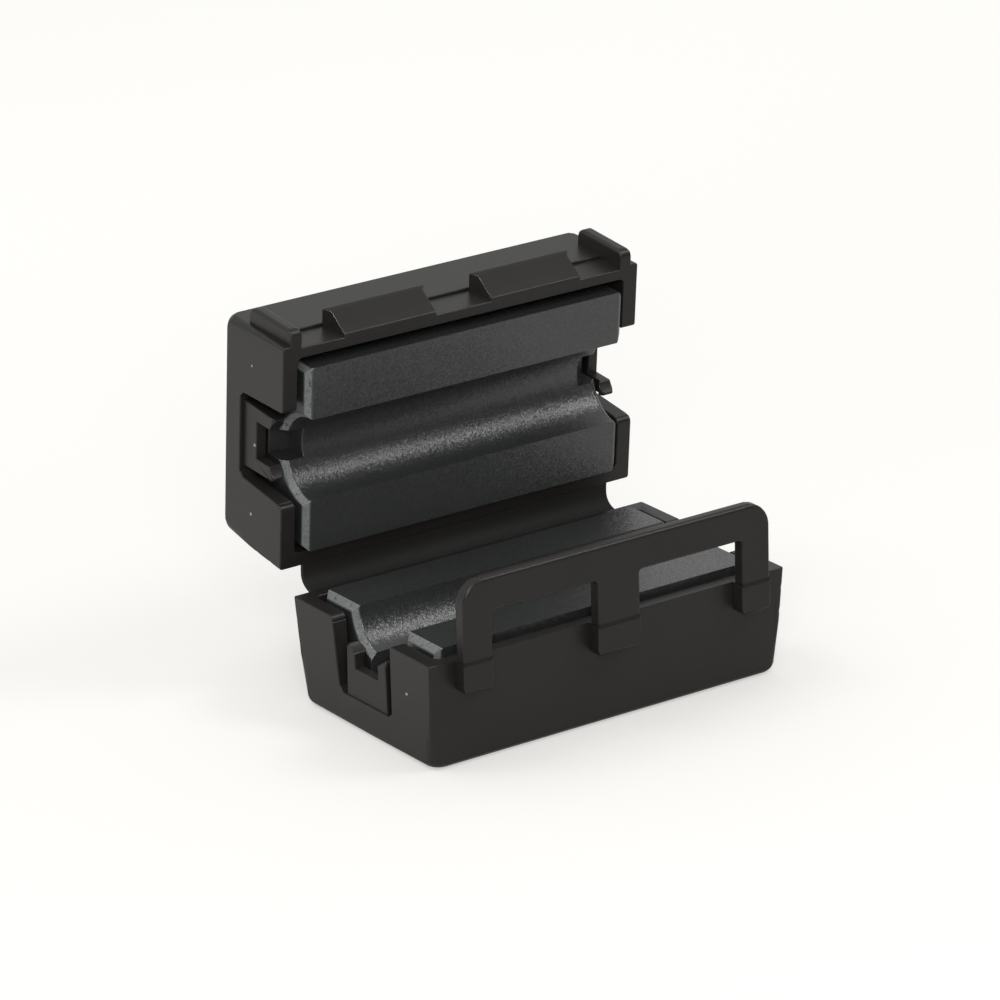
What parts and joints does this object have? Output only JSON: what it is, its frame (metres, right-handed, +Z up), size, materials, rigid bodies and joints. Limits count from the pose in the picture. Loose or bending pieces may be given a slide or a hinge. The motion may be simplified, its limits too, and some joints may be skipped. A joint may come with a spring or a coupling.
{
  "type": "clip on ferrite bead",
  "caption": "Hinged plastic snap case that closes grooved ferrite half cores round a cable, with a living hinge at the back and a flexing latch bail over hooks at the front.",
  "frame": {"origin": "centre of the base's flat underside", "axes": "+X along the cable, +Y towards the living hinge and the open lid, +Z up from the underside"},
  "size_m": [0.0322, 0.0292, 0.0297],
  "materials": {
    "case_plastic": "satin",
    "ferrite": "matte"
  },
  "bodies": {
    "base": {"base_shell": "case_plastic", "hinge_web": "case_plastic", "ferrite_base": "ferrite"},
    "lid": {"lid_shell": "case_plastic", "ferrite_lid": "ferrite"},
    "latch": {"latch_bail": "case_plastic"}
  },
  "joints": [
    {"name": "lid_hinge", "type": "hinge", "parent": "base", "child": "lid", "pos_m": [0, 0.01013, 0.00883], "axis": [1, 0, 0], "range_deg": [-95.5, 84.5], "deforming": ["hinge_web"]},
    {"name": "latch_flex", "type": "hinge", "parent": "base", "child": "latch", "pos_m": [0, -0.00945, 0.0085], "axis": [1, 0, 0], "range_deg": [0, 20], "stiffness_Nm_per_rad": 0.03}
  ]
}
